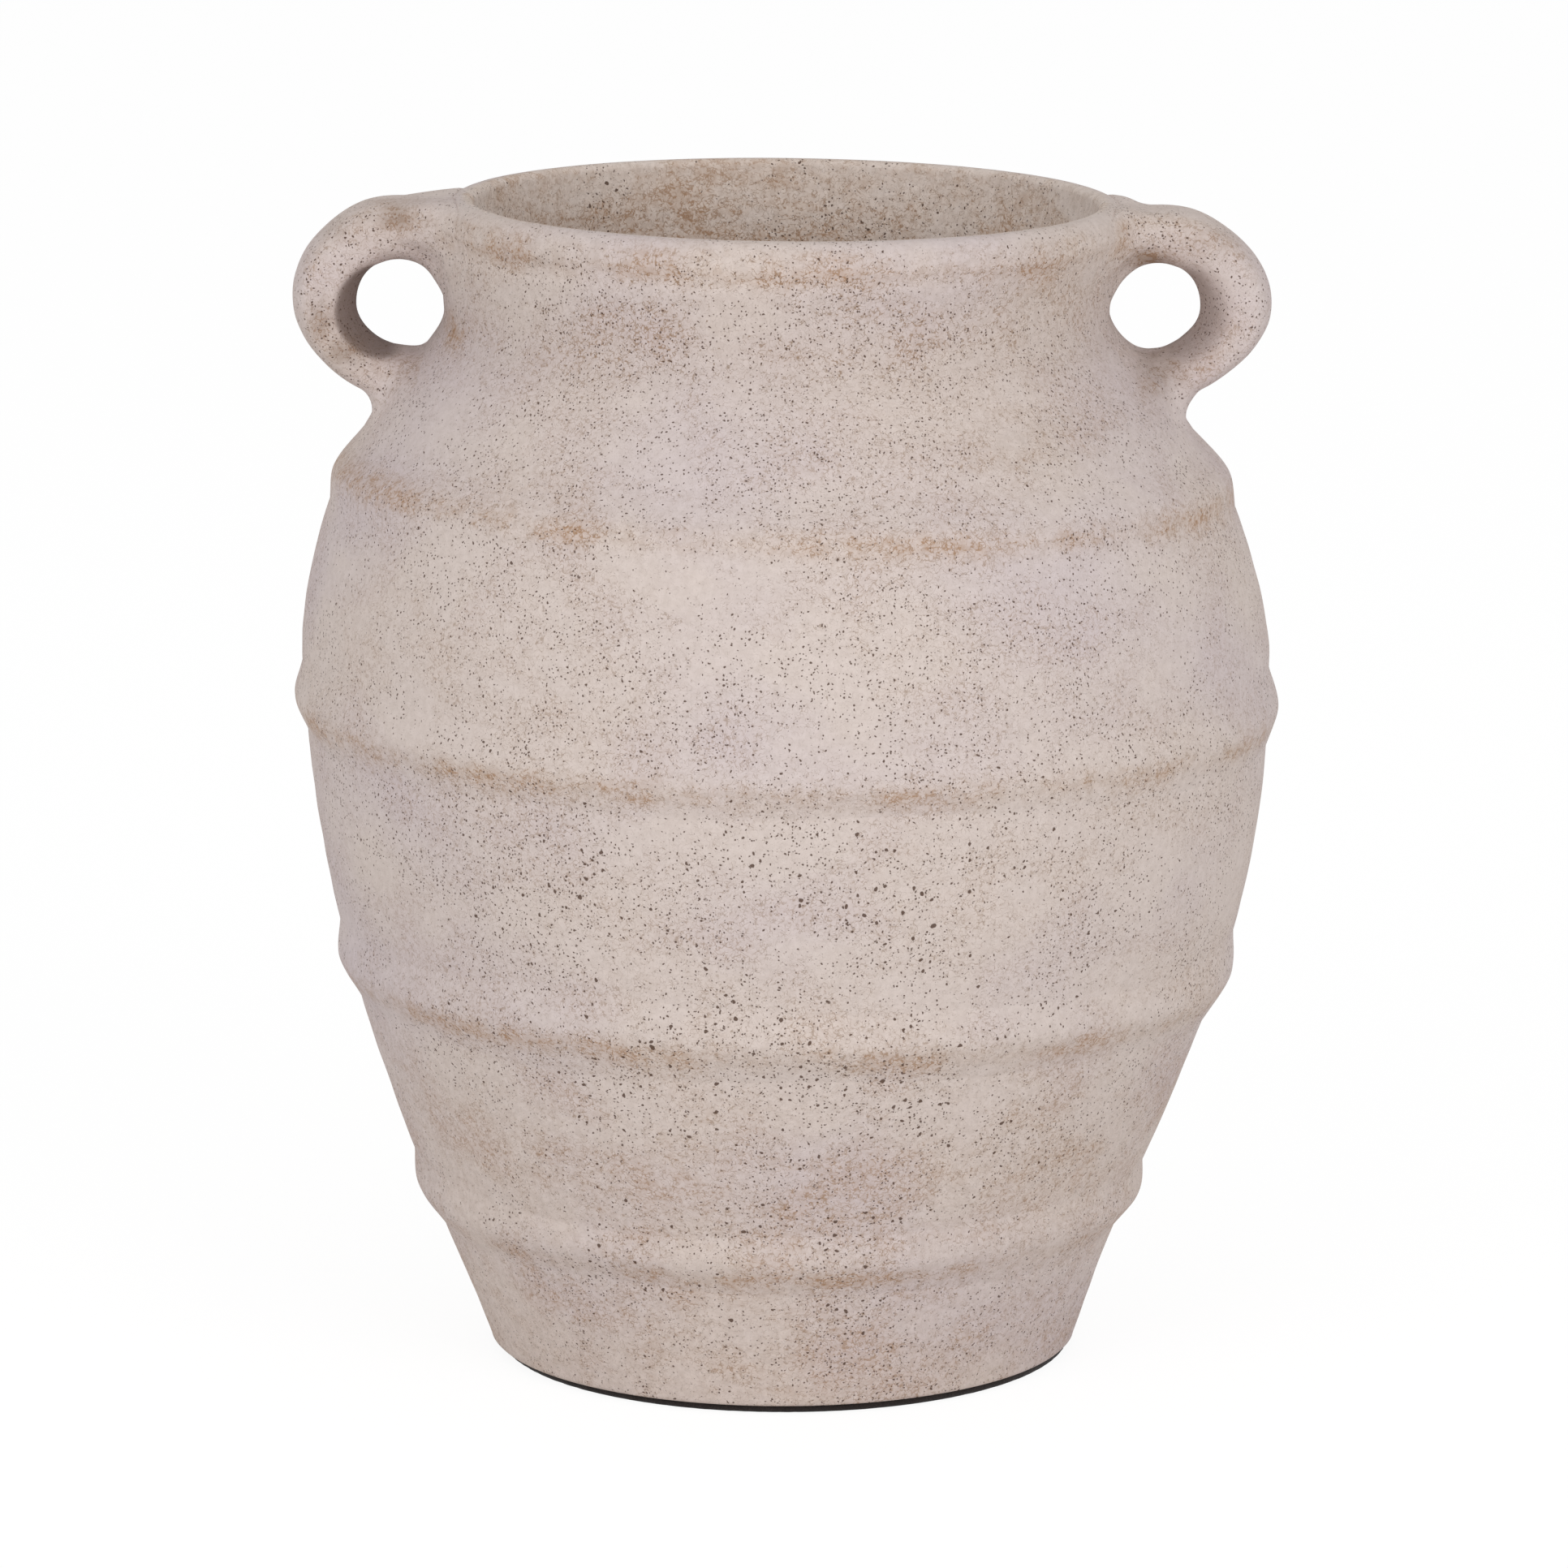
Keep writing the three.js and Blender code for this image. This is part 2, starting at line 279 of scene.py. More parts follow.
class ClayFinish(bpy.types.PropertyGroup):
    """Colours and grain of the whitewashed clay."""

    wash: tint("Wash", "Warm chalky wash", "#e1d3cc")
    thick_wash: tint("Thick wash", "Whiter wash on the inside", "#ecdfd7")
    cool_wash: tint("Cool wash", "Greyer, thicker wash", "#dbcecf")
    clay: tint("Clay", "Bare clay through thin wash", "#938070")
    stain: tint("Stain", "Brown wash in the creases", "#c8ac91")
    rust: tint("Rust", "Lines in the brown wash", "#ad8b70")
    # The pore colour is bare clay darkened by painted shade. It also paints the shade in hollows and
    # the dirt in blotches.
    pore: tint("Pore", "Inside of an open pore", "#573f31")
    pore_spacing: length("Pore spacing", "Mean distance of pores in the clay", 0.9)
    pore_radius: length("Pore radius", "Largest of the common pores", 0.3)
    loop: length("Loop", "Size of the loops of the fine lines", 1.1)
    line_width: number("Line width", "Half the noise step that a line covers", 0.046)


class FeltFinish(bpy.types.PropertyGroup):
    """Colours of the felt pad."""

    felt: tint("Felt", "Dark brown wool felt", "#2b2524")
    fluff: tint("Fluff", "Lighter loose fibres", "#4a413d")


class StageSettings(bpy.types.PropertyGroup):
    """Camera and light, as in the photograph."""

    camera_distance: number("Distance", "Camera in front of the axis", 2.0937, "LENGTH")
    camera_height: number("Height", "Camera over the floor", 0.5766, "LENGTH")
    camera_side: number("Side", "Camera to the right of the axis", -0.0001, "LENGTH")
    camera_tilt: number("Tilt", "Camera below level", 0.201, "ROTATION")
    lens: number("Lens", "Focal length in millimetres", 186.44)
    ambient: number("Ambient", "Light from all round", 0.56)
    key: number("Key", "Mean power of the two soft boxes in watts", 14.5)


# The outline of the wall, in millimetres over the clay foot.


def stretch(start, leave, end, arrive, pull, steps):
    """A smooth stretch of outline from start to end that keeps its end directions."""
    start, leave, end, arrive = (np.array(p, float) for p in (start, leave, end, arrive))
    rise = end[1] - start[1]
    first = start + leave * rise * pull[0]
    second = end - arrive * rise * pull[1]
    t = np.linspace(0, 1, steps + 1)[:, None]
    near_start = (1 - t) ** 3 * start + 3 * (1 - t) ** 2 * t * first
    return near_start + 3 * (1 - t) * t * t * second + t**3 * end


def leaning(angle):
    """The upward direction leaning inwards by an angle."""
    return np.array([-math.sin(angle), math.cos(angle)])


def moved(points, distance):
    """An outline moved sideways, outwards where the distance is positive."""
    along = np.gradient(points, axis=0)
    along /= np.linalg.norm(along, axis=1)[:, None]
    return points + distance * np.stack([along[:, 1], -along[:, 0]], axis=1)


def lip_centre(wall):
    """Middle of the rolled lip's section."""
    return np.array(
        [(wall.waist_radius - wall.lip_set_back) / MM, (wall.rim_height - wall.lip_fall) / MM]
    )


def lip_arc(wall, start, end, steps):
    """The lip between two angles above level on the outer side. Past the top is its inner edge."""
    turn = np.radians(np.linspace(start, end, steps + 1))
    across, up = np.cos(turn), np.sin(turn)
    middle = lip_centre(wall)
    tall = np.where(up > 0, wall.lip_fall, wall.lip_under) / MM
    face = middle + np.stack([wall.lip_out / MM * across, tall * up], axis=1)
    edge = wall.lip_edge / MM
    start_edge = [middle[0] - wall.lip_flat / MM, wall.rim_height / MM - edge]
    inner = start_edge + edge * np.stack([across, up], axis=1)
    return np.where((turn > math.pi / 2)[:, None], inner, face)


def lip_crease(wall):
    """The crease where the roll meets the neck."""
    return lip_arc(wall, LIP_CREASE, LIP_CREASE, 0)[0]


def outer_outline(wall):
    """The wall's outside from the foot's edge to the crease under the lip."""
    edge = [wall.foot_radius / MM, wall.foot_round / MM]
    belly = [wall.belly_radius / MM, wall.belly_height / MM]
    shoulder = [wall.shoulder_radius / MM, wall.shoulder_height / MM]
    waist = [wall.waist_radius / MM, wall.waist_height / MM]
    up = leaning(0)
    slope = leaning(wall.shoulder_lean)
    under_lip = leaning(math.radians(-28.5))
    return np.concatenate(
        [
            stretch(edge, leaning(-wall.flank_lean), belly, up, (0.385, 0.42), 90)[:-1],
            stretch(belly, up, shoulder, slope, (0.11, 0.555), 42)[:-1],
            stretch(shoulder, slope, waist, up, (0.86, 0.14), 12)[:-1],
            stretch(waist, up, lip_crease(wall), under_lip, (1 / 3, 0.2), 24),
        ]
    )


def wall_section(wall):
    """The whole section of the wall, from the axis under the foot round to the axis on the floor."""
    outside = outer_outline(wall)
    floor = wall.floor / MM
    fillet = 7.0
    below_lip = outside[:, 1] < lip_crease(wall)[1] - 4
    inner = moved(outside, -wall.thickness / MM)[below_lip]
    corner = np.interp(floor, inner[:, 1], inner[:, 0])
    start = np.interp(floor + fillet, inner[:, 1], inner[:, 0])
    t = np.linspace(0, 1, 9)[:, None]
    turn = (
        (1 - t) ** 2 * np.array([start, floor + fillet])
        + 2 * (1 - t) * t * np.array([corner, floor])
        + t**2 * np.array([corner - fillet, floor])
    )
    inside = inner[inner[:, 1] > floor + fillet][::-2]
    foot = wall.foot_round / MM
    edge = outside[0] - [foot, foot]
    rounding = [edge + foot * np.array([math.sin(a), 1 - math.cos(a)]) for a in (0, 0.5, 1.05)]
    under = [[edge[0] * share, 0.0] for share in (0.0, 0.35, 0.7, 0.93)]
    level = [[(corner - fillet) * share, floor] for share in (0.75, 0.5, 0.25, 0.0)]
    face = lip_arc(wall, LIP_CREASE, 90, 20)
    inner_edge = lip_arc(wall, 95, 180, 10)
    return np.concatenate([under, rounding, outside[:-1], face, inner_edge, inside, turn, level])


def radius_at(outside, height):
    """The wall's outer radius at a height."""
    return np.interp(height, outside[:, 1], outside[:, 0])


def from_axis(points):
    """Distance of points from the axis."""
    return np.hypot(points[:, 0], points[:, 1])


def sideways(points):
    """How far round to the left or right points lie, from 0 at the front and back to 1."""
    return np.abs(points[:, 0]) / np.maximum(from_axis(points), 1e-6)


def pad_top():
    """Height of the pad's top over the floor, in millimetres."""
    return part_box("base_pad")[1][2] / MM


# The hand in the clay: every piece of clay is moved by the same field, so joins stay closed.


def sway_at(wall, height):
    """How far the wall stands to the right at a height, in millimetres."""
    swing = np.cos(np.pi / 2 * (height - SWAY_PEAK) / SWAY_QUARTER)
    return wall.sway / MM * swing * ramp(height, 0, SWAY_FULL)


def lumps(point):
    """Soft lumps and faint throwing rings, from about -1 to 1, at a point in millimetres."""
    x, y, z = point
    return sum(
        strength * noise.noise(Vector((x / width, y / width, z / height + start)))
        for width, height, strength, start in LUMPS
    )


def by_hand(wall, points):
    """Points of clay over the foot as the hand left them, now over the floor, in millimetres."""
    radius = from_axis(points)
    out = points[:, :2] / np.maximum(radius, 1e-6)[:, None]
    x, _, z = points.T
    depth = np.array([lumps(p) for p in points]) * wall.unevenness / MM
    depth *= ramp(z, 0.5, 12.5) * ramp(radius, 0, 40)
    done = points.copy()
    done[:, :2] += out * depth[:, None]
    done[:, 0] += sway_at(wall, z) - wall.aside / MM
    done[:, 0] += wall.lip_aside / MM * ramp(z, 282, 296) * ramp(radius, 96, 88)
    done[:, 0] += wall.thumb / MM * bell(points - DENT_MIDDLE, DENT_REACH).prod(axis=1)
    done[:, 2] -= wall.rim_tilt * x * ramp(z, 215, 300)
    return done + [0, 0, pad_top()]


# Meshes


def turned(section, turns):
    """Vertices and faces of a section turned about the axis, which it meets at both ends."""
    angle = np.linspace(0, 2 * np.pi, turns, endpoint=False)
    rows = section[1:-1]
    x = rows[:, :1] * np.cos(angle)
    y = rows[:, :1] * np.sin(angle)
    z = np.repeat(rows[:, 1:], turns, axis=1)
    points = np.stack([x, y, z], axis=2).reshape(-1, 3)
    points = np.concatenate([points, [[0, 0, section[0][1]], [0, 0, section[-1][1]]]])
    j = np.arange(turns)
    k = (j + 1) % turns
    faces = []
    for row in range(len(rows) - 1):
        here, above = row * turns, (row + 1) * turns
        faces += np.stack([here + j, here + k, above + k, above + j], axis=1).tolist()
    last = (len(rows) - 1) * turns
    start, end = len(points) - 2, len(points) - 1
    faces += [[start, int(b), int(a)] for a, b in zip(j, k)]
    faces += [[last + int(a), last + int(b), end] for a, b in zip(j, k)]
    return points, faces


def ringed(loops):
    """Vertices and faces of a closed ring of loops, given as loops x points x 3."""
    count, around = loops.shape[:2]
    j = np.arange(around)
    k = (j + 1) % around
    faces = []
    for i in range(count):
        here, after = i * around, (i + 1) % count * around
        faces += np.stack([here + j, after + j, after + k, here + k], axis=1).tolist()
    return loops.reshape(-1, 3), faces


def without_pinches(field):
    """The field with each place emptied where two corners of the surface would share an edge."""
    field = field.copy()
    near, far = slice(0, -1), slice(1, None)
    pinched = True
    while pinched:
        pinched = False
        for u, v in ((0, 1), (0, 2), (1, 2)):
            corners = []
            for at_u, at_v in ((near, near), (near, far), (far, far), (far, near)):
                place = [slice(None)] * 3
                place[u], place[v] = at_u, at_v
                corners.append(field[tuple(place)])
            a, b, c, d = (corner < 0 for corner in corners)
            crossed = (a == c) & (b == d) & (a != b)
            if crossed.any():
                pinched = True
                for corner in corners:
                    corner[crossed] = np.maximum(corner[crossed], 1e-3)
    return field


def surface_net(field, origin, cell):
    """Vertices and faces of the surface where a field on a grid passes through zero."""
    field = without_pinches(field)
    inside = field < 0
    shape = np.array(field.shape)
    corners = [(a, b, c) for a in (0, 1) for b in (0, 1) for c in (0, 1)]

    def shifted(values, offset):
        a, b, c = offset
        return values[a : a + shape[0] - 1, b : b + shape[1] - 1, c : c + shape[2] - 1]

    total = np.zeros(tuple(shape - 1) + (3,))
    crossings = np.zeros(tuple(shape - 1))
    for first in corners:
        for axis in range(3):
            if first[axis]:
                continue
            second = tuple(v + (i == axis) for i, v in enumerate(first))
            a, b = shifted(field, first), shifted(field, second)
            cut = shifted(inside, first) != shifted(inside, second)
            share = np.where(cut, a / np.where(cut, a - b, 1), 0)
            for i in range(3):
                total[..., i] += np.where(cut, first[i] + (share if i == axis else 0), 0)
            crossings += cut
    used = crossings > 0
    index = np.full(tuple(shape - 1), -1)
    index[used] = np.arange(used.sum())
    place = np.argwhere(used) + total[used] / crossings[used][:, None]
    faces = []
    for axis in range(3):
        u, v = (axis + 1) % 3, (axis + 2) % 3
        low = [slice(1, -1)] * 3
        low[axis] = slice(0, -1)
        high = list(low)
        high[axis] = slice(1, None)
        start, end = inside[tuple(low)], inside[tuple(high)]
        at = np.argwhere(start != end) + [0 if i == axis else 1 for i in range(3)]
        outward = start[start != end]
        quads = []
        for du, dv in ((0, 0), (1, 0), (1, 1), (0, 1)):
            near = at.copy()
            near[:, u] -= du
            near[:, v] -= dv
            quads.append(index[near[:, 0], near[:, 1], near[:, 2]])
        quads = np.stack(quads, axis=1)
        quads[~outward] = quads[~outward][:, ::-1]
        faces.append(quads)
    return origin + place * cell, np.concatenate(faces).tolist()


def largest_part(points, faces):
    """The largest of the separate closed parts that the faces make."""
    faces = np.array(faces)
    label = np.arange(len(points))
    while True:
        lowest = label[faces].min(axis=1)
        after = label.copy()
        np.minimum.at(after, faces, lowest[:, None])
        after = after[after]
        if (after == label).all():
            break
        label = after
    kept = label == np.bincount(label).argmax()
    index = np.cumsum(kept) - 1
    return points[kept], index[faces[kept[faces[:, 0]]]].tolist()


def add_piece(name, points, faces, stains, node, material, sharp=None):
    """Adds one visible piece that stands for a node. Points are in millimetres over the floor."""
    mesh = bpy.data.meshes.new(name)
    mesh.from_pydata((points * MM).tolist(), [], faces)
    mesh.polygons.foreach_set("use_smooth", [True] * len(mesh.polygons))
    if sharp:
        mesh.set_sharp_from_angle(angle=math.radians(sharp))
    for key, values in stains.items():
        layer = mesh.attributes.new(key, "FLOAT", "POINT")
        layer.data.foreach_set("value", np.asarray(values, np.float32))
    mesh.materials.append(material)
    mesh.update()
    piece = bpy.data.objects.new(name, mesh)
    bpy.context.scene.collection.objects.link(piece)
    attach(piece, BODY)
    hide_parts(node)


def add_clay(name, points, faces, stains, node, sharp=None):
    """Adds one piece of clay."""
    clay = bpy.data.materials.get(CLAY_NAME) or whitewashed_clay(bpy.context.scene.vase_clay)
    add_piece(name, points, faces, stains, node, clay, sharp)


# Where the brown wash has settled, where shade is painted, how pitted the clay is and how wide its
# pores are, from 0 to 1 at each vertex.


def band_middle(band, turn):
    """Height of a band's crest at an angle round the axis from the right."""
    return band["height"] - band["fall"] / 2 * np.cos(turn) - band["rise"] * np.sin(turn)


def band_seep(points):
    """Brown wash on the lower side of each band and, thinner, on the whole lower part."""
    turn = np.arctan2(points[:, 1], points[:, 0])
    total = 0.42 * ramp(points[:, 2], 120, 60)
    for band in BANDS.values():
        middle = band_middle(band, turn) - band["seep"] - band["run"] / 2 * np.cos(turn)
        total = np.maximum(total, 0.9 * bell(points[:, 2] - middle, 3.4))
    return total


def lip_seep(wall, points):
    """Brown wash in the crease under the lip and, thinner, on the lip's face and the neck, where it is
    partly painted shade of the neck's hollow.
    """
    below = lip_crease(wall)[1] + 0.5 - points[:, 2]
    face = 0.5 * ramp(below, -7.5, -4.5) * (below < 0)
    # On the neck the thin brown wash is partly painted shade of the neck's hollow.
    neck = 0.2 * ramp(below, 0, 4) * ramp(below, 34, 18)
    outside = ramp(from_axis(points) - lip_centre(wall)[0], 0, 2)
    return np.maximum(np.maximum(bell(below, 3.6), face), neck) * outside


def neck_shade(wall, points):
    """Painted shade, grey, in the hollow of the neck below the crease under the lip."""
    below = lip_crease(wall)[1] - points[:, 2]
    return 0.13 * ramp(below, 0, 5) * ramp(below, 34, 20)


def blotches(points):
    """Brown wash that has run together on the front."""
    x, y, z = points.T
    total = np.zeros(len(points))
    for right, high, width, height, strength in BLOTCHES:
        total = np.maximum(total, strength * bell(x - right, width) * bell(z - high, height))
    return total * ramp(y, 0, -4)


def weathering(wall, points):
    """How pitted and cracked the wash is: most on the neck, less at the left and right."""
    over_shoulder = points[:, 2] - wall.shoulder_height / MM
    over_crease = points[:, 2] - lip_crease(wall)[1]
    neck = ramp(over_shoulder, 4, 18) * ramp(over_crease, 3, 0)
    return (0.55 + 0.4 * neck) * (1 - 0.4 * ramp(sideways(points), 0.5, 0.9))


def openness(points):
    """How wide the wider pores are, from 0 to 1: most in the middle of the belly."""
    height = points[:, 2]
    return ramp(height, -15, 35) * ramp(height, 205, 155) * (1 - 0.6 * ramp(sideways(points), 0.4, 0.8))


# The handles


def section_distance(section, points):
    """Signed distance from points to a closed section outline, both as radius and height."""
    a = section
    b = np.roll(section, -1, axis=0)
    ab = b - a
    squares = np.maximum((ab**2).sum(axis=1), 1e-12)
    best = np.full(len(points), np.inf)
    crossed = np.zeros(len(points), bool)
    for start, along, square, end in zip(a, ab, squares, b):
        rel = points - start
        share = np.clip(rel @ along / square, 0, 1)
        gap = rel - share[:, None] * along
        best = np.minimum(best, (gap**2).sum(axis=1))
        if start[1] != end[1]:
            spans = (start[1] > points[:, 1]) != (end[1] > points[:, 1])
            x = start[0] + (points[:, 1] - start[1]) / (end[1] - start[1]) * along[0]
            crossed ^= spans & (points[:, 0] < x)
    return np.where(crossed, -1, 1) * np.sqrt(best)


def wall_distance(wall, radius, z):
    """Signed distance to the wall, taken as solid right through, on a grid of radii and heights."""
    outside = outer_outline(wall)
    outside = outside[outside[:, 1] > z.min() - 12]
    rim = lip_arc(wall, LIP_CREASE, 90, 16)
    section = np.concatenate([[[0, outside[0][1]]], outside[:-1], rim, [[0, rim[-1][1]]]])
    r_axis = np.arange(radius.min(), radius.max() + TABLE_STEP, TABLE_STEP)
    z_axis = np.arange(z.min() - 1, z.max() + 1, TABLE_STEP)
    flat = np.stack(np.meshgrid(r_axis, z_axis, indexing="ij"), axis=2).reshape(-1, 2)
    table = section_distance(section, flat).reshape(len(r_axis), len(z_axis))
    u = (radius - r_axis[0]) / TABLE_STEP
    v = (z - z_axis[0]) / TABLE_STEP
    i = np.clip(u.astype(int), 0, len(r_axis) - 2)
    j = np.clip(v.astype(int), 0, len(z_axis) - 2)
    fu, fv = u - i, v - j
    return (
        table[i, j] * (1 - fu) * (1 - fv)
        + table[i + 1, j] * fu * (1 - fv)
        + table[i, j + 1] * (1 - fu) * fv
        + table[i + 1, j + 1] * fu * fv
    )


def eased(degrees, angles, radii, period=None):
    """Radius at angles above level, eased between its measured places."""
    spread = np.linspace(-10, 10, 9)
    return sum(np.interp(degrees + d, angles, radii, period=period) for d in spread) / len(spread)


def flare_at(turn):
    """How much the hole's wall slants, from 0 to 1: most on its outer side and a little below."""
    return np.clip((np.cos(turn + 0.22) - 0.15) / 0.85, 0, 1)


def flared_hole(strap, hole, turn, y):
    """The hole's radius off its middle plane, where its outer wall slants away."""
    return hole + strap.flare * np.maximum(np.abs(y) - 2, 0) * flare_at(turn)


def ring_shape(strap, handle, degrees):
    """Inner radius, outer radius and half width of a handle's ring at angles above level."""
    reach = strap.root_reach / MM
    outer = eased(degrees, STRAP_ANGLES, handle["strap"])
    rising = np.minimum(outer / np.maximum(np.sin(np.radians(np.clip(degrees, 90, 175))), 0.05), reach)
    outer = np.where(degrees > 90, rising, outer)
    outer = outer + (reach - outer) * ramp(degrees, -62, -86)
    inner = eased(degrees, HOLE_ANGLES, handle["hole"], period=360)
    low = ramp(degrees, -70, -130)
    high = ramp(degrees, 60, 110)
    top_width = strap.top_width + (strap.root_width - strap.top_width) * ramp(degrees, 115, 175)
    width = strap.width + (strap.root_width - strap.width) * low + (top_width - strap.width) * high
    return inner, outer, width / 2 / MM


def ring_field(strap, handle, out, up, y, cell):
    """About the signed distance to a handle's ring, on a grid."""
    turn = np.arctan2(up, out)
    inner, outer, half = ring_shape(strap, handle, np.degrees(turn))
    inner = flared_hole(strap, inner, turn, y)
    away = (np.hypot(out, up) - (inner + outer) / 2) / ((outer - inner) / 2)
    crisp = strap.squareness + (handle["crisp"] - strap.squareness) * flare_at(turn)
    power = np.where(away < 0, crisp, strap.squareness)
    level = (np.abs(away) ** power + (np.abs(y) / half) ** power) ** (1 / power) - 1
    steep = np.sqrt(sum(g**2 for g in np.gradient(level, cell)))
    return level / np.maximum(steep, 0.02)


def handle_surface(wall, strap, handle):
    """Vertices and faces of a handle smeared into the wall."""
    cell = strap.cell / MM
    rim = wall.rim_height / MM
    middle = rim - handle["drop"]
    low = np.array([GRID_START, -GRID_HALF, middle - GRID_BELOW])
    high = np.array([handle["reach"] + GRID_BEYOND, GRID_HALF, rim + GRID_OVER])
    axes = [np.arange(a, b, cell) for a, b in zip(low, high)]
    x, y, z = np.meshgrid(*axes, indexing="ij")
    out = x - handle["reach"]
    radius = np.hypot(x, y)
    from_lip = radius - lip_centre(wall)[0]
    to_wall = wall_distance(wall, radius, z)
    to_ring = np.maximum(ring_field(strap, handle, out, z - middle, y, cell), -from_lip)

    # The smear of clay between ring and wall is widest at the strap's sides and above the hole.
    from_hole = ramp(np.hypot(out, z - middle) - np.mean(handle["hole"]), 0, 7)
    sides = ramp(np.abs(y), 0, strap.width / MM / 2) * from_hole * (1 - 0.8 * ramp(out, -2, 6))
    smear = strap.crease * (0.5 + from_hole) + (strap.fillet - strap.crease) * sides
    smear = smear / MM + 5 * sides * ramp(z - middle, 8, 16)
    smear = np.maximum(smear * ramp(from_lip, 0, 3), 0.1)
    meet = np.maximum(smear - np.abs(to_ring - to_wall), 0) / smear
    joined = np.minimum(to_ring, to_wall) - meet**2 * smear / 4

    # The top is cut level with the rim, with a rounded edge.
    over = z - rim
    edge = strap.top_edge / MM
    meet = np.maximum(edge - np.abs(joined - over), 0) / edge
    joined = np.maximum(joined, over) + meet**2 * edge / 4
    field = np.maximum(np.maximum(joined, -STRAP_BURIED - to_wall), SKIRT - (to_wall - joined))

    # The grid's own border is always empty, which keeps the surface closed.
    for axis in range(3):
        border = np.moveaxis(field, axis, 0)
        border[[0, -1]] = np.maximum(border[[0, -1]], SKIRT)
    points, faces = largest_part(*surface_net(field, low, cell))
    if handle["side"] < 0:
        points[:, 0] *= -1
        faces = [face[::-1] for face in faces]
    return points, faces


# Materials


def add(tree, kind, settings=None, links=None):
    """Adds a node, sets its properties and unlinked sockets, and links the first output of others."""
    made = tree.nodes.new("ShaderNode" + kind)
    for key, value in (settings or {}).items():
        if isinstance(key, int) or key in made.inputs:
            made.inputs[key].default_value = value
        else:
            setattr(made, key, value)
    for key, source in (links or {}).items():
        socket = source if isinstance(source, bpy.types.NodeSocket) else source.outputs[0]
        tree.links.new(socket, made.inputs[key])
    return made


def per(millimetres):
    """Scale of a pattern that repeats over about this length."""
    return 1 / (millimetres * MM)


def new_material(name):
    """A new material and its empty node tree."""
    material = bpy.data.materials.new(name)
    material.use_nodes = True
    material.node_tree.nodes.clear()
    return material, material.node_tree


def thin_wash(tree, flat, seep):
    """Where the wash is thin, broken up at the edges, and where brown wash has settled."""
    patches = {"Scale": per(THIN_PATCH), "Detail": 6.0, "Roughness": 0.66}
    thin = add(tree, "TexNoise", patches, {"Vector": flat})
    thin = add(tree, "MapRange", {"From Min": 0.43, "From Max": 0.61, "To Min": 0.1}, {"Value": thin})
    crumbs = {"Scale": per(CRUMB), "Detail": 4.0, "Roughness": 0.65}
    broken = add(tree, "TexNoise", crumbs, {"Vector": flat})
    spread = {"From Min": 0.32, "From Max": 0.60, "To Min": 0.25}
    broken = add(tree, "MapRange", spread, {"Value": broken})
    settled = add(tree, "Math", {"operation": "MULTIPLY"}, {0: seep, 1: broken})
    uneven = add(tree, "Math", {"operation": "MULTIPLY_ADD", 1: 0.6, 2: 0.4}, {0: thin})
    return thin, add(tree, "Math", {"operation": "MULTIPLY"}, {0: settled, 1: uneven})


def winding_lines(tree, finish, place, thin, settled):
    """Lines where a noise passes its middle value. They widen where the wash is thin."""
    width = add(tree, "Math", {"operation": "MULTIPLY", 1: finish.line_width}, {0: thin})
    widen = {"operation": "MULTIPLY_ADD", 1: finish.line_width}
    width = add(tree, "Math", widen, {0: settled, 2: width})
    lines = None
    for size in (finish.loop, finish.loop * 1.6):
        wave = add(tree, "TexNoise", {"Scale": 1 / size, "Detail": 1.0}, {"Vector": place})
        wave = add(tree, "Math", {"operation": "SUBTRACT", 1: 0.5}, {0: wave})
        wave = add(tree, "Math", {"operation": "ABSOLUTE"}, {0: wave})
        line = add(tree, "MapRange", {"From Max": 0.0}, {"Value": wave, "From Min": width})
        if lines is not None:
            line = add(tree, "Math", {"operation": "MAXIMUM"}, {0: lines, 1: line})
        lines = line
    return lines


def short_curls(tree, flat, lines, pitted, settled):
    """The lines broken into curls by another noise, bolder where the clay is pitted or brown."""
    gaps = add(tree, "TexNoise", {"Scale": per(LINE_GAP), "Detail": 1.0}, {"Vector": flat})
    gaps = add(tree, "MapRange", {"From Min": 0.40, "From Max": 0.53, "To Min": 0.15}, {"Value": gaps})
    bold = add(tree, "Math", {"operation": "MULTIPLY_ADD", 1: 0.55, 2: 0.3}, {0: pitted})
    bold = add(tree, "Math", {"operation": "MULTIPLY_ADD", 1: 0.6}, {0: settled, 2: bold})
    bold = add(tree, "Math", {"operation": "MULTIPLY"}, {0: bold, 1: gaps})
    bold = add(tree, "Math", {"operation": "MULTIPLY", 1: 1.1}, {0: bold})
    return add(tree, "Math", {"operation": "MULTIPLY", "use_clamp": True}, {0: lines, 1: bold})


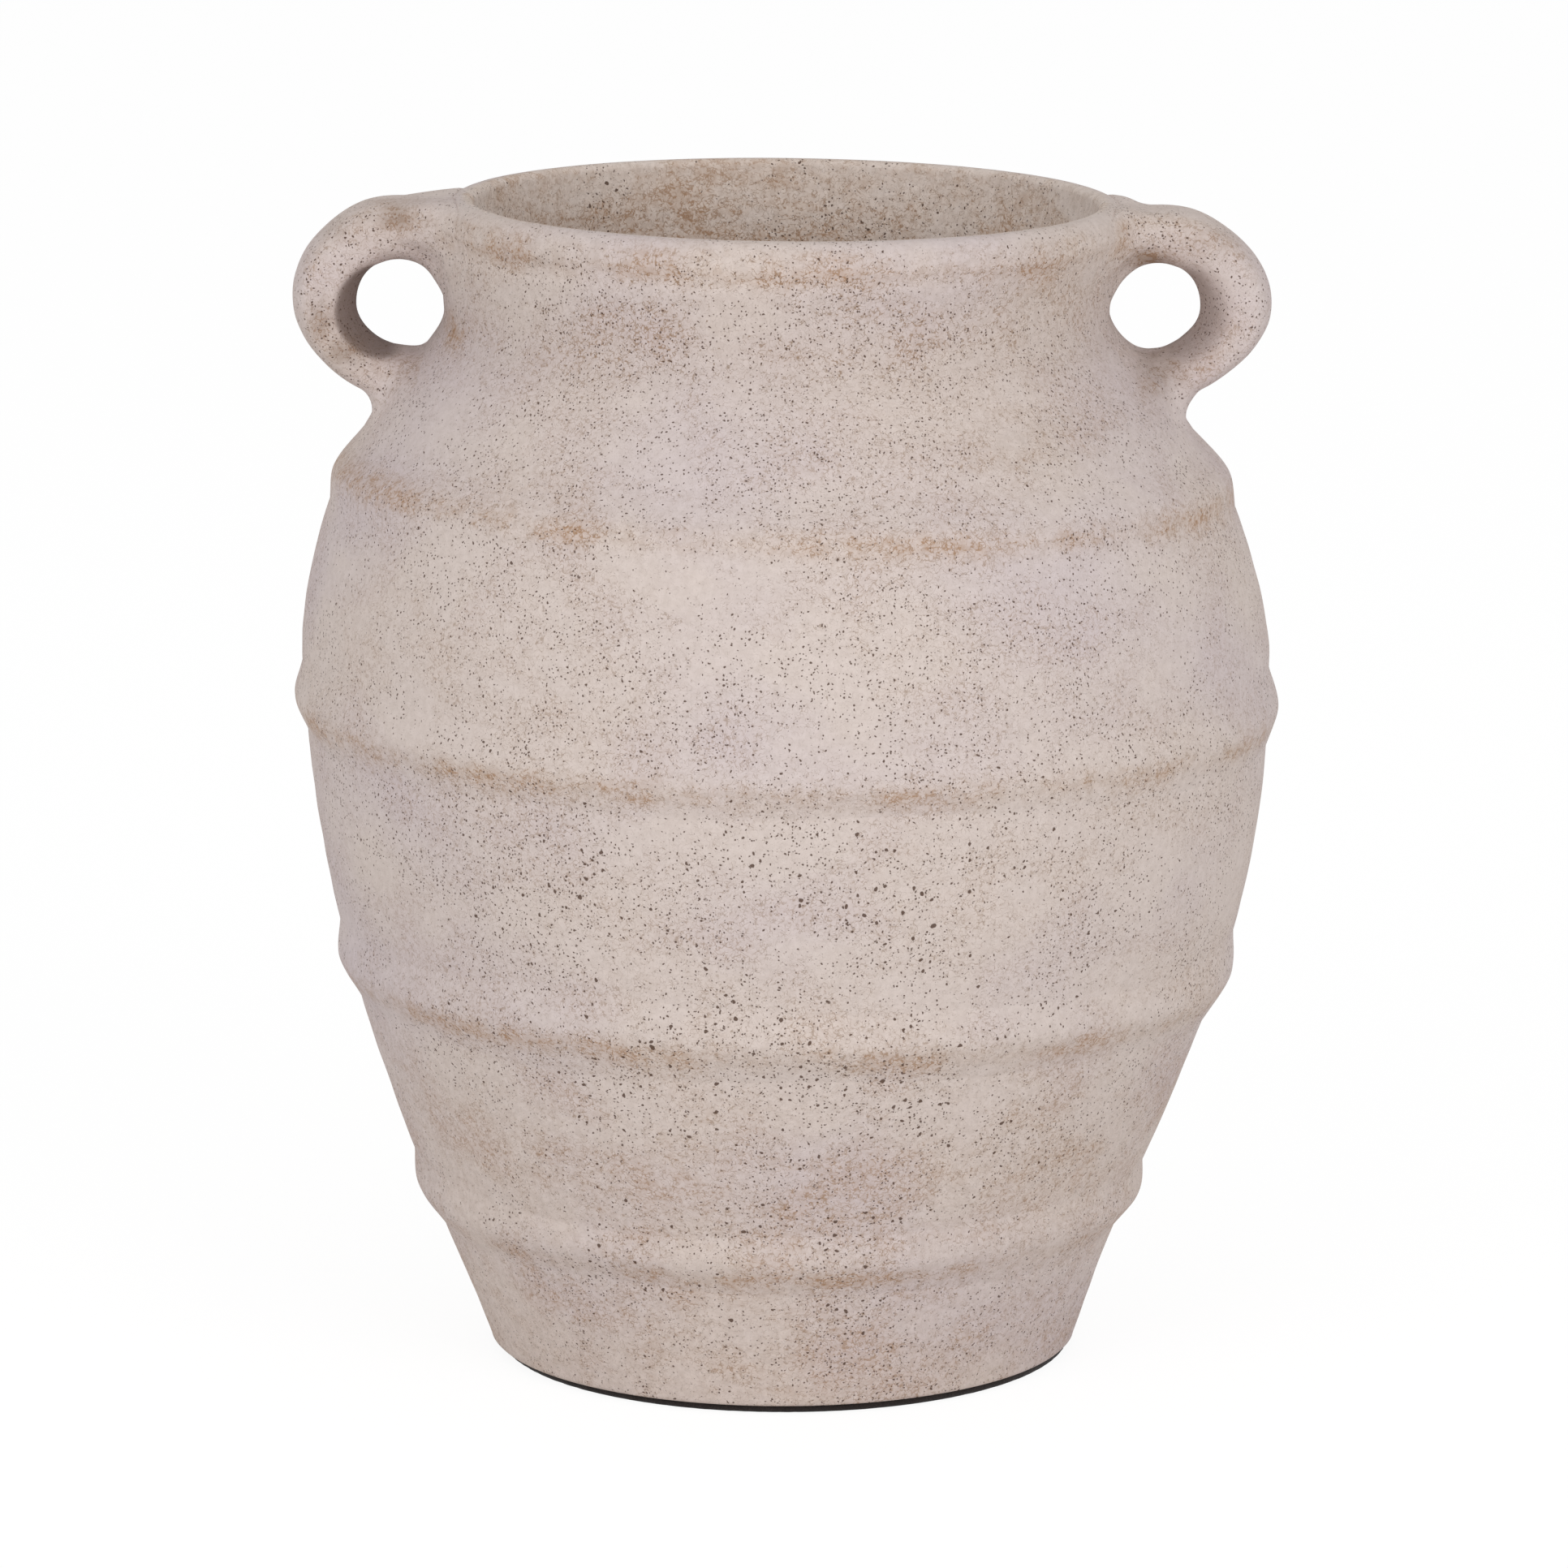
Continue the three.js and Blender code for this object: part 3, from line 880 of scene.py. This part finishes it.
def open_pores(tree, finish, place, opened, pitted, settled):
    """Open pores: many of pin size, a few wider, and in some places hardly any."""
    places = {"Scale": per(PORE_PLACE), "Detail": 3.0, "Roughness": 0.6}
    crowd = add(tree, "TexNoise", places, {"Vector": place})
    few_to_many = {"From Min": 0.35, "From Max": 0.60, "To Min": -0.32, "To Max": 0.12}
    crowd = add(tree, "MapRange", few_to_many, {"Value": crowd})
    for more, where in ((0.25, pitted), (0.03, opened), (-0.3, settled)):
        crowd = add(tree, "Math", {"operation": "MULTIPLY_ADD", 1: more}, {0: where, 2: crowd})
    wide = add(tree, "Math", {"operation": "MULTIPLY_ADD", 1: 0.55, 2: 0.45}, {0: opened})
    bend = add(tree, "TexNoise", {"Scale": per(PORE_BEND), "Detail": 0.0}, {"Vector": place})
    push = {"operation": "MULTIPLY_ADD", 1: (PORE_PUSH * MM,) * 3}
    bent = add(tree, "VectorMath", push, {0: bend.outputs["Color"], 2: place})
    pits = None
    for spacing, most, widest in (
        (finish.pore_spacing, 0.6, finish.pore_radius),
        (finish.pore_spacing * 2.6, 0.4, finish.pore_radius * 1.8),
        (finish.pore_spacing * 7, 0.35, finish.pore_radius * 2.3),
    ):
        cells = add(tree, "TexVoronoi", {"Scale": 1 / spacing}, {"Vector": bent})
        pick = add(tree, "SeparateColor", {}, {"Color": cells.outputs["Color"]})
        pick = add(tree, "Math", {"operation": "ADD"}, {0: pick, 1: crowd})
        sizes = {"From Min": 1 - most, "From Max": 1.15 - most / 2, "To Max": widest / spacing}
        radius = add(tree, "MapRange", sizes, {"Value": pick})
        if spacing > finish.pore_spacing:
            radius = add(tree, "Math", {"operation": "MULTIPLY"}, {0: radius, 1: wide})
        depth = add(tree, "Math", {"operation": "SUBTRACT"}, {0: radius, 1: cells})
        pit = add(tree, "MapRange", {"From Max": PORE_EDGE * MM / spacing}, {"Value": depth})
        if pits is not None:
            pit = add(tree, "Math", {"operation": "MAXIMUM"}, {0: pits, 1: pit})
        pits = pit
    return pits


def whitewashed_clay(finish):
    """Coarse earthenware, thrown and scraped, under a thin chalky wash rubbed back by hand.

    To the eye it is dry and pale: a chalky ground with fine winding lines where the clay shows
    through the cracked wash, many small open pores, and brown wash left in the creases.
    """
    material, tree = new_material(CLAY_NAME)
    place = add(tree, "TexCoord").outputs["Object"]
    flat = add(tree, "Mapping", {"Scale": (1.0, 1.0, 1.4)}, {"Vector": place})
    seep, pitted, dirt_and_shade, opened, chalky = (
        add(tree, "Attribute", {"attribute_name": name}).outputs["Fac"]
        for name in ("seep", "pitted", "dirt_and_shade", "open", "chalky")
    )

    # The wash is warm in some places and a little cooler in others. Inside it is thick and white.
    cool = add(tree, "TexNoise", {"Scale": per(COOL_PATCH), "Detail": 3.0}, {"Vector": flat})
    cool = add(tree, "MapRange", {"From Min": 0.45, "From Max": 0.68}, {"Value": cool})
    warm_to_cool = {"data_type": "RGBA", 6: (*finish.wash, 1), 7: (*finish.cool_wash, 1)}
    wash = add(tree, "Mix", warm_to_cool, {0: cool}).outputs[2]
    to_thick = {"data_type": "RGBA", 7: (*finish.thick_wash, 1)}
    wash = add(tree, "Mix", to_thick, {0: chalky, 6: wash}).outputs[2]
    thin, settled = thin_wash(tree, flat, seep)
    lines = winding_lines(tree, finish, place, thin, settled)
    drawn = short_curls(tree, flat, lines, pitted, settled)

    # Brown wash in the creases lies as a thin glaze under its own denser lines.
    haze = add(tree, "Math", {"operation": "MULTIPLY", 1: 0.08}, {0: thin})
    glaze = add(tree, "Math", {"operation": "MULTIPLY_ADD", 1: 0.38}, {0: settled, 2: haze})
    to_stain = {"data_type": "RGBA", 7: (*finish.stain, 1)}
    colour = add(tree, "Mix", to_stain, {0: glaze, 6: wash}).outputs[2]
    clamped = {"operation": "MULTIPLY_ADD", 1: 0.45, "use_clamp": True}
    brown = add(tree, "Math", clamped, {0: thin, 2: settled})
    clay_to_rust = {"data_type": "RGBA", 6: (*finish.clay, 1), 7: (*finish.rust, 1)}
    ink = add(tree, "Mix", clay_to_rust, {0: brown}).outputs[2]
    colour = add(tree, "Mix", {"data_type": "RGBA"}, {0: drawn, 6: colour, 7: ink}).outputs[2]

    # Between flakes of chalk the ground is a little darker, more so in the brown wash.
    flake = add(tree, "TexNoise", {"Scale": per(FLAKE), "Detail": 2.0}, {"Vector": place})
    flake = add(tree, "MapRange", {"From Min": 0.35, "From Max": 0.65}, {"Value": flake})
    flaked = add(tree, "Math", {"operation": "MULTIPLY_ADD", 1: 0.35, 2: 0.12}, {0: settled})
    flake = add(tree, "Math", {"operation": "MULTIPLY"}, {0: flake, 1: flaked})
    colour = add(tree, "Mix", {"data_type": "RGBA"}, {0: flake, 6: colour, 7: ink}).outputs[2]

    # Pores are bare clay darkened by painted shade inside. The painted shade in hollows and the dirt in
    # the blotches have the same colour.
    pits = open_pores(tree, finish, place, opened, pitted, settled)
    hollow = add(tree, "Math", {"operation": "MULTIPLY", 1: 0.9}, {0: pits})
    shade_and_dirt_share = add(tree, "Math", {"operation": "MULTIPLY", 1: 0.65}, {0: dirt_and_shade})
    to_pore = {"data_type": "RGBA", 7: (*finish.pore, 1)}
    colour = add(tree, "Mix", to_pore, {0: hollow, 6: colour}).outputs[2]
    colour = add(tree, "Mix", to_pore, {0: shade_and_dirt_share, 6: colour}).outputs[2]

    # Relief: the pits, the cracked lines and the grit of the clay.
    grit = add(tree, "TexNoise", {"Scale": per(GRIT), "Detail": 2.0}, {"Vector": place})
    height = add(tree, "Math", {"operation": "MULTIPLY_ADD", 1: 0.35}, {0: grit, 2: flake})
    height = add(tree, "Math", {"operation": "MULTIPLY_ADD", 1: -0.15}, {0: lines, 2: height})
    height = add(tree, "Math", {"operation": "SUBTRACT"}, {0: height, 1: pits})
    bump = add(tree, "Bump", {"Strength": 0.5, "Distance": RELIEF * MM}, {"Height": height})
    dull = add(tree, "Math", {"operation": "MULTIPLY_ADD", 1: 0.12, 2: 0.82}, {0: grit})
    shader = add(
        tree,
        "BsdfPrincipled",
        {"IOR": 1.5, "Metallic": 0.0, "Specular IOR Level": 0.25},
        {"Base Color": colour, "Roughness": dull, "Normal": bump},
    )
    add(tree, "OutputMaterial", {}, {"Surface": shader})
    return material


def pressed_felt(finish):
    """Dark brown wool felt, pressed and die cut: a deep matt edge with paler loose fibres."""
    material, tree = new_material("wool_felt_pressed")
    place = add(tree, "TexCoord").outputs["Object"]
    tufts = {"Scale": per(TUFT), "Detail": 3.0, "Distortion": 1.5}
    tuft = add(tree, "TexNoise", tufts, {"Vector": place})
    cloud = add(tree, "TexNoise", {"Scale": per(CLOUD), "Detail": 2.0}, {"Vector": place})
    loose = add(tree, "MapRange", {"From Min": 0.45, "From Max": 0.75}, {"Value": tuft})
    share = add(tree, "Math", {"operation": "MULTIPLY"}, {0: loose, 1: cloud})
    felt_to_fluff = {"data_type": "RGBA", 6: (*finish.felt, 1), 7: (*finish.fluff, 1)}
    colour = add(tree, "Mix", felt_to_fluff, {0: share}).outputs[2]
    bump = add(tree, "Bump", {"Strength": 0.6, "Distance": RELIEF * MM}, {"Height": tuft})
    shader = add(
        tree,
        "BsdfPrincipled",
        {"IOR": 1.5, "Roughness": 0.95, "Sheen Weight": 0.2, "Specular IOR Level": 0.15},
        {"Base Color": colour, "Normal": bump},
    )
    add(tree, "OutputMaterial", {}, {"Surface": shader})
    return material


def shown_share(tree, share):
    """The share of its own white that a stage surface shows to the camera and through reflections."""
    path = add(tree, "LightPath").outputs
    seen = path["Is Camera Ray"]
    for ray in ("Is Glossy Ray", "Is Transmission Ray"):
        seen = add(tree, "Math", {"operation": "MAXIMUM"}, {0: seen, 1: path[ray]})
    return add(tree, "Math", {"operation": "MULTIPLY", 1: share}, {0: seen})


def studio_floor():
    """Matt white board. It shows nearly white and keeps a faint contact shadow."""
    material, tree = new_material("board_painted_white")
    board = add(tree, "BsdfDiffuse", {"Color": (0.85, 0.85, 0.85, 1)})
    glow = add(tree, "Emission", {"Color": (1, 1, 1, 1), "Strength": 1.1})
    shown = add(tree, "MixShader", {}, {0: shown_share(tree, 0.82), 1: board, 2: glow})
    add(tree, "OutputMaterial", {}, {"Surface": shown})
    return material


# Operators


class VASE_OT_wall(bpy.types.Operator):
    """Throws the wall with its floor, neck and rolled lip"""

    bl_idname = "vase.wall"
    bl_label = "Throw Wall"

    def execute(self, context):
        wall = context.scene.vase_wall
        points, faces = turned(wall_section(wall), wall.turns)
        radius = from_axis(points)
        height = points[:, 2]
        half_way = moved(outer_outline(wall), -wall.thickness / MM / 2)
        inside = ramp(radius_at(half_way, height) - radius, 0, 2)
        blotch = blotches(points) * (1 - inside)
        seep = band_seep(points) * (radius > UNDER_FOOT)
        seep = np.maximum(seep, lip_seep(wall, points)) * (1 - inside)
        top = ramp(height - wall.rim_height / MM, -5, -1) * (radius > lip_centre(wall)[0] - 5)
        placed = by_hand(wall, points)
        stains = {
            "seep": np.maximum(np.maximum(seep, 0.8 * blotch), 0.75 * inside),
            "pitted": weathering(wall, points) * (1 - 0.85 * top) * (1 - 0.35 * inside),
            "open": np.maximum(openness(placed), inside),
            "chalky": inside,
            # Dirt in the blotches and painted shade in the hollow of the neck.
            "dirt_and_shade": np.maximum(0.15 * blotch, neck_shade(wall, placed) * (1 - inside)),
        }
        add_clay("thrown_wall", placed, faces, stains, "vase_body")
        return {"FINISHED"}


class VASE_OT_band(bpy.types.Operator):
    """Presses one coil of clay round the wall"""

    bl_idname = "vase.band"
    bl_label = "Press On Band"

    node: StringProperty(name="Node", description="Node that the band stands for")
    height: number("Height", "Crest over the foot in millimetres")
    width: number("Width", "Width of the coil in millimetres")
    proud: number("Proud", "How far it stands out in millimetres")
    fall: number("Fall", "How much lower it lies on the right")
    rise: number("Rise", "How much higher it lies at the front")
    seep: number("Seep", "Brown wash below the crest in millimetres")
    run: number("Run", "How much lower the wash lies on the right")

    def execute(self, context):
        wall = context.scene.vase_wall
        turn = np.linspace(0, 2 * np.pi, wall.turns, endpoint=False)[:, None]
        face = np.linspace(-1, 1, 31)
        back = np.linspace(1, -1, 7)
        across = np.concatenate([face, back])
        # The coil's section is a rounded swell with a soft edge along its crest.
        ridge = 0.6 * np.cos(face * np.pi / 2) ** 2
        ridge += 0.4 * (1 - np.sqrt(face**2 + 0.01)) * ramp(np.abs(face), 1, 0.75)
        front = self.proud * ridge - 0.12 * np.abs(face) ** 6
        depth = np.concatenate([front, np.full(len(back), -COIL_BURIED)])
        # The coil is wider in some places and narrower in others, as fingers leave it.
        finger = 1 + 0.10 * np.sin(3 * turn + self.height) + 0.06 * np.sin(7 * turn + self.width)
        middle = band_middle(dict(height=self.height, fall=self.fall, rise=self.rise), turn)
        z = middle + across * self.width / 2 * finger
        radius = radius_at(outer_outline(wall), z) + depth * (1 + 0.06 * np.sin(5 * turn + self.proud))
        loops = np.stack([radius * np.cos(turn), radius * np.sin(turn), z], axis=2)
        points, faces = ringed(loops)
        stains = {
            "seep": np.maximum(band_seep(points), blotches(points)),
            "pitted": weathering(wall, points),
            "open": openness(points),
        }
        add_clay(self.node + "_coil", by_hand(wall, points), faces, stains, self.node)
        return {"FINISHED"}


class VASE_OT_handle(bpy.types.Operator):
    """Bends one strap of clay round its finger hole and smears its ends into lip and shoulder"""

    bl_idname = "vase.handle"
    bl_label = "Join Handle"

    node: StringProperty(name="Node", description="Node that the handle stands for")
    side: IntProperty(name="Side", description="-1 for left and 1 for right", min=-1, max=1)
    reach: number("Reach", "Axis to the hole's middle in millimetres")
    drop: number("Drop", "Rim to the hole's middle in millimetres")
    hole: FloatVectorProperty(
        name="Hole",
        description="Radius of the hole at HOLE_ANGLES in millimetres",
        size=len(HOLE_ANGLES),
    )
    strap: FloatVectorProperty(
        name="Strap",
        description="Outer radius of the strap at STRAP_ANGLES in millimetres",
        size=len(STRAP_ANGLES),
    )
    crisp: number("Crisp", "Crispness of the hole's front edge")
    # How dark the painted shade on the hole's slanting wall is.
    dirt_and_shade: number("Grime", "Wash settled on the hole's slanting wall")

    def execute(self, context):
        wall = context.scene.vase_wall
        strap = context.scene.vase_strap
        handle = {key: getattr(self, key) for key in HANDLES["left_handle"]}
        points, faces = handle_surface(wall, strap, handle)
        out = self.side * points[:, 0] - self.reach
        up = points[:, 2] - (wall.rim_height / MM - self.drop)
        aside = np.abs(points[:, 1])
        rho = np.hypot(out, up)
        turn = np.arctan2(up, out)
        hole = ring_shape(strap, handle, np.degrees(turn))[0]
        flared = flared_hole(strap, hole, turn, points[:, 1])
        blotch = blotches(points)

        # Painted shade darkens the hole's slanting wall and the hollow of the neck, and dirt darkens
        # the blotches.
        soft = 9 / self.crisp
        hole_wall_shade = self.dirt_and_shade * ramp(rho - flared, soft, 0) * ramp(flare_at(turn), 0, 0.5)
        neck_hollow_shade = neck_shade(wall, points) * ramp(out, -8, -16)

        # Brown wash lies at the hole's lower edge, towards the lip and on the strap's upper edge.
        low_edge = bell(rho - flared - 3, 3) * ramp(aside, 6, 12) * ramp(up, 6, -10)
        high_edge = bell(rho - hole - 13.5, 2.2) * ramp(aside, 7, 11) * ramp(up, 4, 14)
        to_lip = lip_seep(wall, points) * ramp(out, -6, -12)
        stains = {
            "seep": np.max([0.4 * low_edge, to_lip, 0.75 * blotch, 0.4 * high_edge], axis=0),
            "pitted": 0.5 - 0.4 * ramp(rho - hole, 12, 17),
            "open": openness(points) + 0.3,
            # The darkening is painted shade on the hole's wall and in the neck's hollow, and dirt in
            # the blotches.
            "dirt_and_shade": np.max([hole_wall_shade, 0.3 * blotch, neck_hollow_shade], axis=0),
        }
        add_clay(self.node + "_strap", by_hand(wall, points), faces, stains, self.node, sharp=50)
        return {"FINISHED"}


class VASE_OT_pad(bpy.types.Operator):
    """Cuts the felt pad under the foot"""

    bl_idname = "vase.pad"
    bl_label = "Cut Pad"

    def execute(self, context):
        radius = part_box("base_pad")[1][0] / MM + FELT_SPREAD
        top = pad_top()
        edge = [
            [radius - 0.5, 0.0],
            [radius - 0.12, 0.15 * top],
            [radius, 0.4 * top],
            [radius, 0.65 * top],
            [radius - 0.15, 0.88 * top],
            [radius - 0.6, top],
        ]
        under = [[radius * share, 0.0] for share in (0.0, 0.3, 0.6, 0.9)]
        over = [[radius * share, top] for share in (0.9, 0.6, 0.3, 0.0)]
        points, faces = turned(np.array(under + edge + over), 360)
        frayed = np.array([noise.noise(Vector(p / FRAY_SPACING)) for p in points]) - 1
        share = 1 + FELT_FRAY * frayed * (from_axis(points) > radius - FELT_EDGE) / radius
        points[:, :2] *= share[:, None]
        felt = pressed_felt(context.scene.vase_felt)
        add_piece("felt_pad", points, faces, {}, "base_pad", felt)
        return {"FINISHED"}


class VASE_OT_stage(bpy.types.Operator):
    """Sets the floor, the soft light and the photograph's camera"""

    bl_idname = "vase.stage"
    bl_label = "Set Stage"

    def execute(self, context):
        stage = context.scene.vase_stage
        scene = context.scene
        mesh = bpy.data.meshes.new("studio_floor")
        corners = [(x * FLOOR_HALF, y * FLOOR_HALF, 0) for x, y in ((-1, -1), (1, -1), (1, 1), (-1, 1))]
        mesh.from_pydata(corners, [], [(0, 1, 2, 3)])
        mesh.materials.append(studio_floor())
        floor = bpy.data.objects.new("studio_floor", mesh)
        scene.collection.objects.link(floor)

        world = bpy.data.worlds.new("studio_white")
        world.use_nodes = True
        tree = world.node_tree
        tree.nodes.clear()
        around = add(tree, "Background", {"Color": (1, 1, 1, 1), "Strength": stage.ambient})
        shown = add(tree, "Background", {"Color": (1, 1, 1, 1), "Strength": 1.0})
        both = add(tree, "MixShader", {}, {0: shown_share(tree, 1.0), 1: around, 2: shown})
        add(tree, "OutputWorld", {}, {"Surface": both})
        scene.world = world

        for name, (side, share) in SOFT_BOXES.items():
            lamp = bpy.data.lights.new(name, "AREA")
            lamp.energy = stage.key * share
            lamp.size = BOX_WIDTH
            box = bpy.data.objects.new(name, lamp)
            spot = Vector((side * BOX_PLACE[0], *BOX_PLACE[1:]))
            box.location = spot
            box.rotation_euler = (Vector((0, 0, AIM_HEIGHT)) - spot).to_track_quat("-Z", "Y").to_euler()
            scene.collection.objects.link(box)

        lens = bpy.data.cameras.new("photo_camera")
        lens.sensor_width = 36.0
        lens.lens = stage.lens
        lens.clip_end = 200
        camera = bpy.data.objects.new("photo_camera", lens)
        camera.location = (stage.camera_side, -stage.camera_distance, stage.camera_height)
        camera.rotation_euler = (math.pi / 2 - stage.camera_tilt, 0, 0)
        scene.collection.objects.link(camera)
        scene.camera = camera
        scene.view_settings.view_transform = "Standard"
        return {"FINISHED"}


class VASE_PT_panel(bpy.types.Panel):
    """The vase's pieces and the stage"""

    bl_idname = "VASE_PT_panel"
    bl_label = "Jug Vase"
    bl_space_type = "VIEW_3D"
    bl_region_type = "UI"
    bl_category = "Jug Vase"

    def draw(self, context):
        for operator in (VASE_OT_wall, VASE_OT_band, VASE_OT_handle, VASE_OT_pad, VASE_OT_stage):
            self.layout.operator(operator.bl_idname)
        for group in GROUPS:
            box = self.layout.box()
            settings = getattr(context.scene, group)
            for key in settings.bl_rna.properties.keys():
                if key not in ("rna_type", "name"):
                    box.prop(settings, key)


GROUPS = {
    "vase_wall": WallSizes,
    "vase_strap": StrapSizes,
    "vase_clay": ClayFinish,
    "vase_felt": FeltFinish,
    "vase_stage": StageSettings,
}
CLASSES = (
    *GROUPS.values(),
    VASE_OT_wall,
    VASE_OT_band,
    VASE_OT_handle,
    VASE_OT_pad,
    VASE_OT_stage,
    VASE_PT_panel,
)


def register():
    for cls in CLASSES:
        bpy.utils.register_class(cls)
    for name, group in GROUPS.items():
        setattr(bpy.types.Scene, name, PointerProperty(type=group))


def unregister():
    for name in GROUPS:
        delattr(bpy.types.Scene, name)
    for cls in reversed(CLASSES):
        bpy.utils.unregister_class(cls)


def main():
    register()
    bpy.ops.vase.wall()
    for node, sizes in BANDS.items():
        bpy.ops.vase.band(node=node, **sizes)
    for node, sizes in HANDLES.items():
        bpy.ops.vase.handle(node=node, **sizes)
    bpy.ops.vase.pad()
    bpy.ops.vase.stage()


if __name__ == "__main__":
    main()
